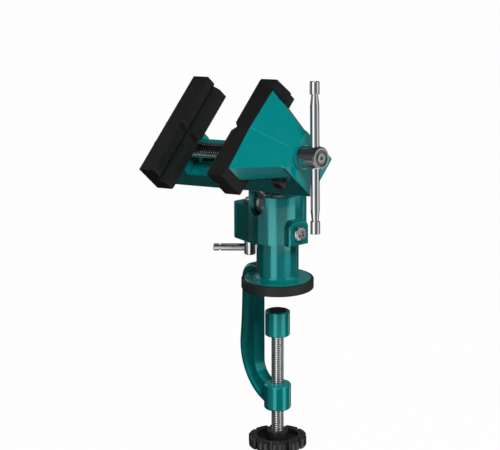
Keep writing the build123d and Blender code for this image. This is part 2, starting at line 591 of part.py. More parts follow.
def make_clamp_knob():
    bottom = KNOB_TOP - KNOB_HEIGHT
    knob = disc(KNOB_CORE_RADIUS, bottom, KNOB_TOP)
    ridge = disc(KNOB_RIDGE_RADIUS, bottom, KNOB_TOP)
    for place in PolarLocations(KNOB_RADIUS - KNOB_RIDGE_RADIUS, KNOB_LOBES):
        for side in (-1, 1):
            knob += Rot(0, 0, side * KNOB_RIDGE_ANGLE) * place * ridge
    turned = disc(KNOB_RADIUS, bottom, KNOB_TOP)
    knob &= fillet(turned.edges().filter_by(GeomType.CIRCLE), KNOB_EDGE_FILLET)
    knob -= disc(KNOB_DISH_RADIUS, KNOB_TOP - KNOB_DISH_DEPTH, KNOB_TOP + OVERRUN)
    knob += disc(KNOB_HUB_RADIUS, KNOB_TOP - KNOB_DISH_DEPTH, KNOB_TOP + KNOB_HUB_RISE)
    shank = CLAMP_SCREW_RADIUS - CLAMP_THREAD_DEPTH
    return knob - disc(shank, KNOB_TOP - SCREW_IN_KNOB, KNOB_TOP + KNOB_HUB_RISE + OVERRUN)


# Head: the jaw shape shared by the fixed and the movable jaw, its face at X = 0, its back at +X
def jaw_form(bottom):
    front = [
        (-JAW_HALF_WIDTH, JAW_TOP), (JAW_HALF_WIDTH, JAW_TOP),
        (JAW_HALF_WIDTH, JAW_TOP - JAW_WING_HEIGHT), (BED_HALF_WIDTH, JAW_WAIST_Z),
        (BED_HALF_WIDTH, bottom), (-BED_HALF_WIDTH, bottom),
        (-BED_HALF_WIDTH, JAW_WAIST_Z), (-JAW_HALF_WIDTH, JAW_TOP - JAW_WING_HEIGHT)]
    plan = [
        (0, -JAW_HALF_WIDTH), (JAW_TAPER_LENGTH, -BED_HALF_WIDTH), (JAW_DEPTH, -BED_HALF_WIDTH),
        (JAW_DEPTH, BED_HALF_WIDTH), (JAW_TAPER_LENGTH, BED_HALF_WIDTH), (0, JAW_HALF_WIDTH)]
    form = prism(front, Plane.YZ, 0, JAW_DEPTH)
    form &= prism(plan, Plane.XY, bottom, JAW_TOP)
    roof = [
        (-SOFT_HALF_WIDTH, -JAW_TOP), (SOFT_HALF_WIDTH, -JAW_TOP), (SOFT_HALF_WIDTH, -JAW_RIDGE_RISE),
        (0, 0), (-SOFT_HALF_WIDTH, -JAW_RIDGE_RISE)]
    slope = Plane(
        origin=(0, 0, JAW_TOP), x_dir=(0, 1, 0), z_dir=(JAW_DEPTH, 0, -JAW_SLOPE_DROP))
    form &= prism(roof, slope, -JAW_TOP, JAW_SLOPE_LENGTH + JAW_TOP)
    rounded = [
        edge for edge in form.edges()
        if edge.center().X > TURN_FIT and edge.center().Z > bottom + TURN_FIT
        and abs(edge.tangent_at(0).Y) + abs(edge.center().Y) > TURN_FIT
    ]
    return fillet(rounded, JAW_EDGE_FILLET)


# Tongue on a soft jaw's back, and with a clearance its groove in the jaw
def tongue(clearance):
    half = TONGUE_HEIGHT / 2 + clearance
    end = TONGUE_HALF_LENGTH + clearance
    middle = JAW_TOP - TONGUE_DROP
    return slab(-OVERRUN, TONGUE_DEPTH + clearance, -end, end, middle - half, middle + half)


AT_FIXED = Pos(FIXED_JAW_FACE, 0, 0)
AT_MOVABLE = Pos(MOVABLE_JAW_FACE, 0, 0) * Rot(0, 0, 180)


def make_vise_body():
    jaw = jaw_form(BED_BOTTOM) - tongue(FACE_GAP)
    bed = slab(BED_END, FIXED_JAW_BACK, -BED_HALF_WIDTH, BED_HALF_WIDTH, BED_BOTTOM, BED_TOP)
    bed = fillet(bed.edges().filter_by(Axis.X), BED_EDGE_FILLET)
    slot_end = FIXED_JAW_FACE - SLOT_END_WALL
    bed -= slab(
        BED_END - OVERRUN, slot_end, -SLOT_WIDTH / 2, SLOT_WIDTH / 2, SLOT_FLOOR, BED_TOP + OVERRUN)
    bed -= slab(
        BED_END - OVERRUN, slot_end, -SLOT_WIDE / 2, SLOT_WIDE / 2, SLOT_FLOOR, SLOT_LIP_BOTTOM)
    body = AT_FIXED * jaw + bed
    body += bar_x(REAR_BOSS_RADIUS, FIXED_JAW_FACE + JAW_DEPTH / 2, WASHER_SEAT, SPINDLE_HEIGHT)
    body -= bar_x(
        SPINDLE_RADIUS + TURN_FIT, FIXED_JAW_FACE - OVERRUN, WASHER_SEAT + OVERRUN, SPINDLE_HEIGHT)
    body -= disc(STUD_SPIGOT_RADIUS + TURN_FIT, BED_BOTTOM - OVERRUN, SLOT_FLOOR + OVERRUN)
    body -= disc(STUD_BOLT_HEAD_RADIUS + SLIDE_FIT, STUD_LEDGE_TOP, SLOT_FLOOR + OVERRUN)
    near = -BED_HALF_WIDTH
    body -= bar_y(RETAINER_RADIUS, near - OVERRUN, RETAINER_REACH, RETAINER_X, RETAINER_HEIGHT)
    body -= bar_y(
        RETAINER_HEAD_RADIUS + LOOSE_FIT, -JAW_HALF_WIDTH - OVERRUN,
        near - RETAINER_HEAD_PROUD + RETAINER_HEAD_HEIGHT, RETAINER_X, RETAINER_HEIGHT)
    stop = Pos(BED_END + STOP_SCREW_INSET, 0, 0)
    body -= stop * disc(STOP_SCREW_RADIUS, BED_BOTTOM - OVERRUN, SLOT_FLOOR + OVERRUN)
    return HEAD * body


def make_ball_stud():
    stud = Sphere(BALL_RADIUS)
    stud += disc(NECK_RADIUS, 0, STUD_SEAT)
    stud += disc(STUD_FLANGE_RADIUS, STUD_SEAT - STUD_FLANGE_HEIGHT, STUD_SEAT)
    stud += disc(STUD_SPIGOT_RADIUS, STUD_SEAT, STUD_LEDGE_TOP + FACE_GAP)
    bolt_end = STUD_LEDGE_TOP + FACE_GAP - STUD_BOLT_LENGTH
    return HEAD * (stud - disc(STUD_BOLT_RADIUS, bolt_end, STUD_SEAT + OVERRUN + STUD_FLANGE_HEIGHT))


def hex_socket(across, bottom, top):
    corner = across / sqrt(3)
    return extrude(Plane.XY.offset(bottom) * RegularPolygon(corner, 6), top - bottom)


def make_stud_bolt():
    seat = STUD_LEDGE_TOP + FACE_GAP
    bolt = disc(STUD_BOLT_RADIUS, seat - STUD_BOLT_LENGTH, seat)
    top = seat + STUD_BOLT_HEAD_HEIGHT - FACE_GAP
    bolt += disc(STUD_BOLT_HEAD_RADIUS, seat, top)
    return HEAD * (bolt - hex_socket(STUD_BOLT_HEX, top - STUD_BOLT_HEAD_HEIGHT, top + OVERRUN))


def make_movable_jaw():
    seat = BED_TOP + SLIDE_FIT
    jaw = jaw_form(seat) - tongue(FACE_GAP)
    key = SLOT_WIDTH / 2 - SLIDE_FIT
    middle = JAW_DEPTH / 2
    jaw += slab(
        middle - KEEPER_LENGTH / 2, middle + KEEPER_LENGTH / 2, -key, key, KEEPER_TOP,
        seat + OVERRUN)
    for side in (-1, 1):
        hole = disc(KEEPER_SCREW_RADIUS, SLOT_FLOOR, KEEPER_SCREW_TOP + LOOSE_FIT)
        jaw -= Pos(middle + side * KEEPER_SCREW_SPACING / 2, 0, 0) * hole
    jaw -= bar_x(SPINDLE_RADIUS + LOOSE_FIT, -OVERRUN, JAW_DEPTH + OVERRUN, SPINDLE_HEIGHT)
    jaw -= bar_x(NUT_RADIUS, JAW_DEPTH - NUT_LENGTH, JAW_DEPTH + OVERRUN, SPINDLE_HEIGHT)
    return HEAD * AT_MOVABLE * jaw


def make_jaw_keeper():
    half = SLOT_WIDE / 2 - SLIDE_FIT
    middle = JAW_DEPTH / 2
    keeper = slab(
        middle - KEEPER_LENGTH / 2, middle + KEEPER_LENGTH / 2, -half, half,
        KEEPER_BOTTOM, KEEPER_TOP)
    for side in (-1, 1):
        at_screw = Pos(middle + side * KEEPER_SCREW_SPACING / 2, 0, 0)
        keeper -= at_screw * disc(KEEPER_SCREW_RADIUS, SLOT_FLOOR, SLOT_LIP_BOTTOM)
        keeper -= at_screw * disc(
            KEEPER_SCREW_HEAD_RADIUS, SLOT_FLOOR, KEEPER_BOTTOM + KEEPER_SCREW_HEAD_HEIGHT)
    return HEAD * AT_MOVABLE * keeper


def make_keeper_screws():
    screw = disc(KEEPER_SCREW_HEAD_RADIUS, KEEPER_BOTTOM, KEEPER_BOTTOM + KEEPER_SCREW_HEAD_HEIGHT)
    screw += disc(KEEPER_SCREW_RADIUS, KEEPER_BOTTOM, KEEPER_SCREW_TOP)
    screw -= Pos(0, 0, KEEPER_BOTTOM) * cross_recess(
        KEEPER_SCREW_HEAD_RADIUS, CROSS_WIDTH, KEEPER_SCREW_HEAD_HEIGHT)
    middle = JAW_DEPTH / 2
    places = [middle + side * KEEPER_SCREW_SPACING / 2 for side in (-1, 1)]
    return Compound([HEAD * AT_MOVABLE * Pos(place, 0, 0) * screw for place in places])


def make_spindle_nut():
    start = JAW_DEPTH - NUT_LENGTH
    end = JAW_DEPTH + NUT_PROUD
    nut = bar_x(NUT_RADIUS, start, end, SPINDLE_HEIGHT)
    nut -= bar_x(SPINDLE_RADIUS + TURN_FIT, start - OVERRUN, end + OVERRUN, SPINDLE_HEIGHT)
    return HEAD * AT_MOVABLE * nut


def make_bed_stop_screw():
    screw = disc(STOP_SCREW_RADIUS, BED_BOTTOM, SLOT_FLOOR)
    top = SLOT_FLOOR + STOP_SCREW_HEAD_HEIGHT
    screw += disc(STOP_SCREW_HEAD_RADIUS, SLOT_FLOOR, top)
    screw -= hex_socket(STOP_SCREW_HEX, top - STOP_SCREW_HEAD_HEIGHT / 2, top + OVERRUN)
    return HEAD * Pos(BED_END + STOP_SCREW_INSET, 0, 0) * screw


# Soft jaw on a jaw's face, with its face at -X and its hook along the jaw's tapered +Y side
def soft_jaw():
    bottom = JAW_TOP - SOFT_HEIGHT
    pad = slab(-SOFT_THICKNESS, 0, -SOFT_HALF_WIDTH, SOFT_HALF_WIDTH, bottom, JAW_TOP)
    taper = Vector(JAW_TAPER_LENGTH, BED_HALF_WIDTH - JAW_HALF_WIDTH).normalized()
    outward = Vector(-taper.Y, taper.X)
    corner = Vector(0, JAW_HALF_WIDTH) + outward * SLIDE_FIT
    inner_start = corner - taper * (corner.X / taper.X)
    inner_end = corner + taper * HOOK_LENGTH
    outer_end = inner_end - taper * HOOK_SLANT + outward * HOOK_THICKNESS
    root = -SOFT_THICKNESS / 2
    hook = prism(
        [(root, inner_start.Y), (0, inner_start.Y), (inner_end.X, inner_end.Y),
         (outer_end.X, outer_end.Y), (0, SOFT_HALF_WIDTH), (root, SOFT_HALF_WIDTH)],
        Plane.XY, JAW_TOP - HOOK_HEIGHT, JAW_TOP)
    hook -= prism(
        [(0, JAW_TOP), (JAW_DEPTH, JAW_TOP - JAW_SLOPE_DROP), (JAW_DEPTH, JAW_TOP + OVERRUN),
         (0, JAW_TOP + OVERRUN)],
        Plane.XZ, -SOFT_HALF_WIDTH - OVERRUN, SOFT_HALF_WIDTH + OVERRUN)
    pad += hook
    pad = fillet(
        pad.edges().filter_by(Axis.Z).filter_by(lambda edge: abs(edge.center().X) > TURN_FIT),
        SOFT_EDGE_FILLET)
    face_groove = JAW_TOP - SOFT_GROOVE_DROP
    pad -= prism(
        [(-SOFT_THICKNESS - OVERRUN, face_groove + SOFT_GROOVE_DEPTH + OVERRUN),
         (-SOFT_THICKNESS + SOFT_GROOVE_DEPTH, face_groove),
         (-SOFT_THICKNESS - OVERRUN, face_groove - SOFT_GROOVE_DEPTH - OVERRUN)],
        Plane.XZ, -SOFT_HALF_WIDTH - OVERRUN, SOFT_HALF_WIDTH + OVERRUN)
    pad -= prism(
        [(-SOFT_THICKNESS - OVERRUN, SOFT_CROSS_GROOVE_DEPTH + OVERRUN),
         (-SOFT_THICKNESS + SOFT_CROSS_GROOVE_DEPTH, 0),
         (-SOFT_THICKNESS - OVERRUN, -SOFT_CROSS_GROOVE_DEPTH - OVERRUN)],
        Plane.XY, bottom - OVERRUN, JAW_TOP + OVERRUN)
    return pad + tongue(0)


def make_fixed_jaw_pad():
    return HEAD * AT_FIXED * soft_jaw()


def make_movable_jaw_pad():
    return HEAD * AT_MOVABLE * soft_jaw()


# Spindle, washer, retaining screw and sliding bar
def make_spindle():
    length = SPINDLE_THREAD_START - SPINDLE_END
    thread = threaded_rod(SPINDLE_RADIUS, SPINDLE_THREAD_DEPTH, SPINDLE_PITCH, 0, length)
    spindle = Pos(SPINDLE_END, 0, SPINDLE_HEIGHT) * Rot(0, 90, 0) * thread
    spindle += bar_x(SPINDLE_RADIUS, SPINDLE_THREAD_START, SPINDLE_HEAD_SEAT, SPINDLE_HEIGHT)
    groove_half = RETAINER_RADIUS + SLIDE_FIT
    groove_root = SPINDLE_RADIUS - RETAINER_BITE - SLIDE_FIT
    spindle -= bar_x(
        SPINDLE_RADIUS + OVERRUN, RETAINER_X - groove_half, RETAINER_X + groove_half, SPINDLE_HEIGHT)
    spindle += bar_x(groove_root, RETAINER_X - groove_half, RETAINER_X + groove_half, SPINDLE_HEIGHT)
    head = bar_x(SPINDLE_HEAD_RADIUS, SPINDLE_HEAD_SEAT, SPINDLE_HEAD_END, SPINDLE_HEIGHT)
    head = chamfer(head.edges().filter_by(GeomType.CIRCLE), SPINDLE_HEAD_CHAMFER)
    recess = SPINDLE_HEAD_END - SPINDLE_FACE_RECESS_DEPTH
    past = SPINDLE_HEAD_END + OVERRUN
    head -= bar_x(
        SPINDLE_FACE_RECESS_SHARE * SPINDLE_HEAD_RADIUS, recess, past, SPINDLE_HEIGHT) - bar_x(
        SPINDLE_FACE_BUTTON_SHARE * SPINDLE_HEAD_RADIUS, recess, past, SPINDLE_HEIGHT)
    head -= bar_x(SPINDLE_CENTRE_RADIUS, SPINDLE_HEAD_END - SPINDLE_CENTRE_DEPTH, past, SPINDLE_HEIGHT)
    spindle += head
    return HEAD * (spindle - TEE * disc(TEE_RADIUS + TURN_FIT, -TEE_LENGTH, TEE_LENGTH))


def make_thrust_washer():
    washer = bar_x(WASHER_RADIUS, WASHER_SEAT, SPINDLE_HEAD_SEAT, SPINDLE_HEIGHT)
    return HEAD * (washer - bar_x(
        SPINDLE_RADIUS, WASHER_SEAT - OVERRUN, SPINDLE_HEAD_SEAT + OVERRUN, SPINDLE_HEIGHT))


def make_spindle_retaining_screw():
    head_start = -BED_HALF_WIDTH - RETAINER_HEAD_PROUD
    head_end = head_start + RETAINER_HEAD_HEIGHT
    screw = bar_y(RETAINER_RADIUS, head_end, RETAINER_REACH, RETAINER_X, RETAINER_HEIGHT)
    head = bar_y(RETAINER_HEAD_RADIUS, head_start, head_end, RETAINER_X, RETAINER_HEIGHT)
    socket = Pos(RETAINER_X, head_start, RETAINER_HEIGHT) * Rot(-90, 0, 0) * hex_socket(
        RETAINER_HEX, -OVERRUN, RETAINER_HEX_DEPTH)
    return HEAD * (screw + head - socket)


def make_tee_bar():
    end = TEE_LENGTH / 2
    cap_start = end - TEE_CAP_LENGTH
    taper_start = cap_start - TEE_TAPER_LENGTH
    bore_end = cap_start + TEE_CAP_BORE_DEPTH
    half = [(0, 0), (TEE_RADIUS, 0), (TEE_RADIUS, taper_start), (TEE_NECK_RADIUS, cap_start),
            (TEE_NECK_RADIUS, bore_end), (0, bore_end)]
    bar = revolve(Plane.XZ * make_face(Polyline(*half, close=True)), Axis.Z)
    return HEAD * TEE * (bar + mirror(bar, Plane.XY))


def make_tee_bar_caps():
    end = TEE_LENGTH / 2
    cap_start = end - TEE_CAP_LENGTH
    cap = disc(TEE_CAP_RADIUS, cap_start, end)
    cap = chamfer(cap.edges().filter_by(GeomType.CIRCLE), TEE_CAP_CHAMFER)
    cap -= disc(TEE_NECK_RADIUS, cap_start - OVERRUN, cap_start + TEE_CAP_BORE_DEPTH)
    return Compound([HEAD * TEE * cap, HEAD * TEE * Rot(180, 0, 0) * cap])


PIECES = {
    "clamp_frame": make_clamp_frame,
    "base_ring": make_base_ring,
    "ball_socket": make_ball_socket,
    "socket_screw": make_socket_screw,
    "ball_seat": make_ball_seat,
    "brake_shoe": make_brake_shoe,
    "cam_shaft": make_cam_shaft,
    "shaft_ring": make_shaft_ring,
    "lever_hub": make_lever_hub,
    "lever_rod": make_lever_rod,
    "pressure_pad": make_pressure_pad,
    "pad_cap": make_pad_cap,
    "pad_clip": make_pad_clip,
    "clamp_screw": make_clamp_screw,
    "clamp_knob": make_clamp_knob,
    "ball_stud": make_ball_stud,
    "stud_bolt": make_stud_bolt,
    "vise_body": make_vise_body,
    "movable_jaw": make_movable_jaw,
    "jaw_keeper": make_jaw_keeper,
    "keeper_screws": make_keeper_screws,
    "spindle_nut": make_spindle_nut,
    "bed_stop_screw": make_bed_stop_screw,
    "fixed_jaw_pad": make_fixed_jaw_pad,
    "movable_jaw_pad": make_movable_jaw_pad,
    "spindle": make_spindle,
    "thrust_washer": make_thrust_washer,
    "spindle_retaining_screw": make_spindle_retaining_screw,
    "tee_bar": make_tee_bar,
    "tee_bar_caps": make_tee_bar_caps,
}

os.makedirs("parts", exist_ok=True)
for name, make in PIECES.items():
    export_step(make(), os.path.join("parts", name + ".step"))
    print("wrote", name)
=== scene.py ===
import json
import math

import bmesh
import bpy
from mathutils import Matrix, Vector


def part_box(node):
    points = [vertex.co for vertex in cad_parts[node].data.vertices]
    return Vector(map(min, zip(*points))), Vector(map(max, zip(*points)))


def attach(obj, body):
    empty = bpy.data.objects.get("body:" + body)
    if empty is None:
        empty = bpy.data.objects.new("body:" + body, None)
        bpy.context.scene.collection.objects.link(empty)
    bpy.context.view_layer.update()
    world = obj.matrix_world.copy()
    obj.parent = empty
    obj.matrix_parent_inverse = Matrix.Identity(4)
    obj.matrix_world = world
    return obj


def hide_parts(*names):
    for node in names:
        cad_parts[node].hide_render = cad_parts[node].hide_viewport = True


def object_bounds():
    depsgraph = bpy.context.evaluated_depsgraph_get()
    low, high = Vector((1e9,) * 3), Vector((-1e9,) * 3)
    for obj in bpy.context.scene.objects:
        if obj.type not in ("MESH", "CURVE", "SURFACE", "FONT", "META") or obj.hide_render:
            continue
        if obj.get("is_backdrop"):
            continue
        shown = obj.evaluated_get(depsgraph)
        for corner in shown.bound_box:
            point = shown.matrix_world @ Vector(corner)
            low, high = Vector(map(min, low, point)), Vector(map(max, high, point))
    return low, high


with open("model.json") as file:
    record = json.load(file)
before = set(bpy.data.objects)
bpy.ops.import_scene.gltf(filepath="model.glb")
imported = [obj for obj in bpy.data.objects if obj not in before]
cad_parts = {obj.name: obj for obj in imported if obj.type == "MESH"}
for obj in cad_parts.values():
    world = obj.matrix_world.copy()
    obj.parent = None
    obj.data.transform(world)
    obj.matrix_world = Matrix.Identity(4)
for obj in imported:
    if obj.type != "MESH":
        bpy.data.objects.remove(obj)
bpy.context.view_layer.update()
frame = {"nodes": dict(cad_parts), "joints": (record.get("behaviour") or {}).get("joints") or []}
nodes = frame["nodes"]
mm = 0.001
sameHeight = 1e-6  # metres; heights nearer than this count as one
white = (1, 1, 1, 1)
print("frame loaded:", len(nodes), "nodes")


def srgb(r, g, b):  # picker values, 0 to 255, as linear colour
    def lin(c):
        c = c / 255
        return c / 12.92 if c <= 0.04045 else ((c + 0.055) / 1.055) ** 2.4
    return (lin(r), lin(g), lin(b), 1)


def addObject(name, data):
    obj = bpy.data.objects.new(name, data)
    bpy.context.scene.collection.objects.link(obj)
    return obj


def jointNamed(name):
    return next(joint for joint in frame["joints"] if joint["name"] == name)


# helpers for node trees

def feed(tree, node, inputs):  # a socket is linked, a plain value is set
    for key, value in inputs.items():
        if isinstance(value, bpy.types.NodeSocket):
            tree.links.new(value, node.inputs[key])
        else:
            node.inputs[key].default_value = value


def addNode(tree, kind, inputs=None, **settings):
    node = tree.nodes.new(kind)
    for key, value in settings.items():
        setattr(node, key, value)
    feed(tree, node, inputs or {})
    return node


def mathNode(tree, operation, a, b, clamp=False):
    return addNode(tree, "ShaderNodeMath", {0: a, 1: b}, operation=operation, use_clamp=clamp).outputs[0]


def ramp(tree, value, start, end):  # 0 at start, 1 at end, smooth between
    inputs = {"Value": value, "From Min": start, "From Max": end}
    return addNode(tree, "ShaderNodeMapRange", inputs, interpolation_type="SMOOTHSTEP").outputs["Result"]


def noise(tree, coords, scale, detail):
    inputs = {"Vector": coords, "Scale": scale, "Detail": detail}
    return addNode(tree, "ShaderNodeTexNoise", inputs).outputs["Fac"]


def objectCoords(tree):
    return addNode(tree, "ShaderNodeTexCoord").outputs["Object"]


def surfaceNormal(tree):
    return addNode(tree, "ShaderNodeNewGeometry").outputs["Normal"]


# the Mix node's sockets go by number: 6 and 7 take colours, 2 and 3 take values
def blendColour(tree, factor, a, b):
    return addNode(tree, "ShaderNodeMix", {0: factor, 6: a, 7: b}, data_type="RGBA").outputs[2]


def blendValue(tree, factor, a, b):
    return addNode(tree, "ShaderNodeMix", {0: factor, 2: a, 3: b}, data_type="FLOAT").outputs[0]


# node groups that the finishes share

def newGroup(name, inputs, outputs):
    group = bpy.data.node_groups.new(name, "ShaderNodeTree")
    for socketName, value in inputs.items():
        socket = group.interface.new_socket(socketName, in_out="INPUT", socket_type="NodeSocketFloat")
        socket.default_value = value
    for socketName, kind in outputs.items():
        group.interface.new_socket(socketName, in_out="OUTPUT", socket_type="NodeSocket" + kind)
    return group, group.nodes.new("NodeGroupInput"), group.nodes.new("NodeGroupOutput")


def placeGroup(tree, group, values=None):
    return addNode(tree, "ShaderNodeGroup", values, node_tree=group).outputs


grainLook = dict(fineScale=900.0, fineDetail=3.0, broadScale=40.0, broadDetail=4.0, speckReach=(0.42, 0.12))


def makeGrainGroup():  # fine lumps, broad clouds and specks
    look = grainLook
    group, start, end = newGroup(
        "surfaceGrain", {"Fine Scale": look["fineScale"], "Broad Scale": look["broadScale"]},
        {"Height": "Float", "Clouds": "Float", "Specks": "Float"})
    coords = objectCoords(group)
    fineScale, broadScale = start.outputs["Fine Scale"], start.outputs["Broad Scale"]
    cells = addNode(group, "ShaderNodeTexVoronoi", {"Vector": coords, "Scale": fineScale})
    feed(group, end, {
        "Height": noise(group, coords, fineScale, look["fineDetail"]),
        "Clouds": noise(group, coords, broadScale, look["broadDetail"]),
        "Specks": ramp(group, cells.outputs["Distance"], *look["speckReach"])})
    return group


wearLook = dict(
    radius=0.4 * mm, breakUp=260.0, samples=6, bend=(0.985, 0.86), reach=4.0 * mm, openness=(0.72, 0.95),
    detail=5.0, patches=(0.47, 0.66))


def makeEdgeWearGroup():  # mask on sharp outer edges, broken up by noise, and the rounded normal there
    look = wearLook
    group, start, end = newGroup(
        "edgeWear", {"Radius": look["radius"], "Break Up": look["breakUp"]},
        {"Mask": "Float", "Rounded Normal": "Vector"})
    bevel = addNode(group, "ShaderNodeBevel", {"Radius": start.outputs["Radius"]}, samples=look["samples"])
    rounded = bevel.outputs["Normal"]
    bend = addNode(
        group, "ShaderNodeVectorMath", {0: rounded, 1: surfaceNormal(group)}, operation="DOT_PRODUCT")
    edge = ramp(group, bend.outputs["Value"], *look["bend"])
    sky = addNode(
        group, "ShaderNodeAmbientOcclusion", {"Distance": look["reach"]}, samples=look["samples"])
    outer = ramp(group, sky.outputs["AO"], *look["openness"])  # inner corners stay painted
    edge = mathNode(group, "MULTIPLY", edge, outer)
    lumps = noise(group, objectCoords(group), start.outputs["Break Up"], look["detail"])
    mask = mathNode(group, "MULTIPLY", edge, ramp(group, lumps, *look["patches"]), True)
    feed(group, end, {"Mask": mask, "Rounded Normal": rounded})
    return group


dustLook = dict(patchScale=120.0, detail=6.0, upward=(0.35, 1.0), patches=(0.42, 0.72))


def makeDustGroup():  # faint dust on faces that look up
    look = dustLook
    group, start, end = newGroup("restingDust", {"Patch Scale": look["patchScale"]}, {"Mask": "Float"})
    height = addNode(group, "ShaderNodeSeparateXYZ", {0: surfaceNormal(group)}).outputs["Z"]
    upward = ramp(group, height, *look["upward"])
    lumps = noise(group, objectCoords(group), start.outputs["Patch Scale"], look["detail"])
    mask = mathNode(group, "MULTIPLY", upward, ramp(group, lumps, *look["patches"]), True)
    feed(group, end, {"Mask": mask})
    return group


grainGroup = makeGrainGroup()
edgeWearGroup = makeEdgeWearGroup()
dustGroup = makeDustGroup()
print("node groups ready")


# finishes

def startMaterial(name):
    mat = bpy.data.materials.new(name)
    mat.use_nodes = True
    tree = mat.node_tree
    return mat, tree, tree.nodes["Principled BSDF"]


def bump(tree, height, strength, distance, rounded=None):
    inputs = {"Height": height, "Strength": strength, "Distance": distance}
    if rounded:
        inputs["Normal"] = rounded
    return addNode(tree, "ShaderNodeBump", inputs).outputs["Normal"]


enamel = dict(
    base=srgb(0, 138, 138), deep=srgb(0, 128, 128), speck=srgb(0, 118, 117), bare=srgb(96, 128, 124),
    dust=srgb(150, 190, 184), rough=(0.13, 0.20), fineScale=800.0, broadScale=55.0, speckShare=0.35,
    lumps=0.06, lumpDepth=0.10 * mm, wearShare=0.12, dustShare=0.02, flake=0.48, shine=0.15, coat=0.6,
    coatRough=0.04)


def makeEnamel(name):
    look = enamel
    mat, tree, shader = startMaterial(name)
    grain = placeGroup(
        tree, grainGroup, {"Fine Scale": look["fineScale"], "Broad Scale": look["broadScale"]})
    wear = placeGroup(tree, edgeWearGroup)
    dust = placeGroup(tree, dustGroup)
    layers = (
        (grain["Specks"], look["speckShare"], look["speck"]),
        (dust["Mask"], look["dustShare"], look["dust"]),
        (wear["Mask"], look["wearShare"], look["bare"]))
    colour = blendColour(tree, grain["Clouds"], look["deep"], look["base"])
    for mask, share, tint in layers:
        colour = blendColour(tree, mathNode(tree, "MULTIPLY", mask, share), colour, tint)
    feed(tree, shader, {
        "Base Color": colour,
        "Roughness": blendValue(tree, grain["Clouds"], *look["rough"]),
        "Metallic": look["flake"],
        "Specular IOR Level": look["shine"],
        "Coat Weight": look["coat"],
        "Coat Roughness": look["coatRough"],
        "Normal": bump(tree, grain["Height"], look["lumps"], look["lumpDepth"], wear["Rounded Normal"])})
    return mat


# what all the metals share: size of the stains, fineness and height of the scratches
metalGrain = dict(fineScale=1400.0, broadScale=90.0, stains=(0.45, 0.75), detail=4.0, scratches=0.06)
evenly = (1, 1, 1)
alongRod = (0.25, 0.25, 2.0)
metals = dict(
    brightChrome=dict(
        base=srgb(214, 215, 218), stained=srgb(190, 192, 196), tarnish=0.25, metal=1.0, rough=0.03,
        roughSpread=0.05, scale=900.0, stretch=evenly, depth=0.02 * mm),
    zincPlate=dict(
        base=srgb(196, 196, 196), stained=srgb(146, 146, 144), tarnish=0.4, metal=1.0, rough=0.14,
        roughSpread=0.10, scale=1200.0, stretch=evenly, depth=0.03 * mm),
    turnedSteel=dict(
        base=srgb(226, 227, 228), stained=srgb(176, 176, 176), tarnish=0.4, metal=1.0, rough=0.10,
        roughSpread=0.08, scale=1600.0, stretch=alongRod, depth=0.03 * mm),
    ballSteel=dict(
        base=srgb(182, 182, 184), stained=srgb(92, 90, 86), tarnish=0.6, metal=1.0, rough=0.20,
        roughSpread=0.12, scale=1500.0, stretch=evenly, depth=0.03 * mm),
    # painted shade: a darker metal laid in the thread roots and in the spindle end's recessed ring, where
    # shade falls
    threadRootShade=dict(
        base=srgb(132, 131, 130), stained=srgb(86, 84, 82), tarnish=0.7, metal=1.0, rough=0.30,
        roughSpread=0.14, scale=1500.0, stretch=evenly, depth=0.03 * mm),
    blackSteel=dict(  # oil-blackened, so only part bare metal
        base=srgb(82, 76, 75), stained=srgb(48, 44, 43), tarnish=0.5, metal=0.4, rough=0.26,
        roughSpread=0.12, scale=1300.0, stretch=evenly, depth=0.03 * mm))


def makeMetal(name):
    look = metals[name]
    mat, tree, shader = startMaterial(name)
    coords = addNode(tree, "ShaderNodeMapping", {"Vector": objectCoords(tree), "Scale": look["stretch"]})
    scratch = noise(tree, coords.outputs["Vector"], look["scale"], metalGrain["detail"])
    grain = placeGroup(
        tree, grainGroup, {"Fine Scale": metalGrain["fineScale"], "Broad Scale": metalGrain["broadScale"]})
    stain = ramp(tree, grain["Clouds"], *metalGrain["stains"])
    stain = mathNode(tree, "MULTIPLY", stain, look["tarnish"])
    rough = mathNode(tree, "MULTIPLY", scratch, look["roughSpread"])
    feed(tree, shader, {
        "Base Color": blendColour(tree, stain, look["base"], look["stained"]),
        "Roughness": mathNode(tree, "ADD", rough, look["rough"]),
        "Metallic": look["metal"],
        "Normal": bump(tree, scratch, metalGrain["scratches"], look["depth"])})
    return mat


# what all the mouldings share: size and share of the clouds, width of the worn edges, roughness either way
mouldingGrain = dict(broadScale=70.0, cloudShare=0.25, edgeRadius=0.8 * mm, roughSpread=0.06)
mouldings = dict(
    softJawPlastic=dict(
        base=srgb(9, 10, 10), pale=srgb(42, 43, 44), rough=0.46, shine=0.28, fineScale=1900.0,
        lumps=0.22, lumpDepth=0.12 * mm, wearShare=0.35, dustShare=0.04),
    knobPlastic=dict(
        base=srgb(17, 17, 18), pale=srgb(52, 52, 54), rough=0.34, shine=0.5, fineScale=1700.0,
        lumps=0.15, lumpDepth=0.10 * mm, wearShare=0.30, dustShare=0.04),
    footRubber=dict(
        base=srgb(20, 21, 21), pale=srgb(64, 66, 64), rough=0.52, shine=0.3, fineScale=1500.0,
        lumps=0.30, lumpDepth=0.15 * mm, wearShare=0.20, dustShare=0.05),
    seatNylon=dict(
        base=srgb(222, 221, 214), pale=srgb(240, 239, 233), rough=0.42, shine=0.5, fineScale=1800.0,
        lumps=0.15, lumpDepth=0.08 * mm, wearShare=0.1, dustShare=0.0))


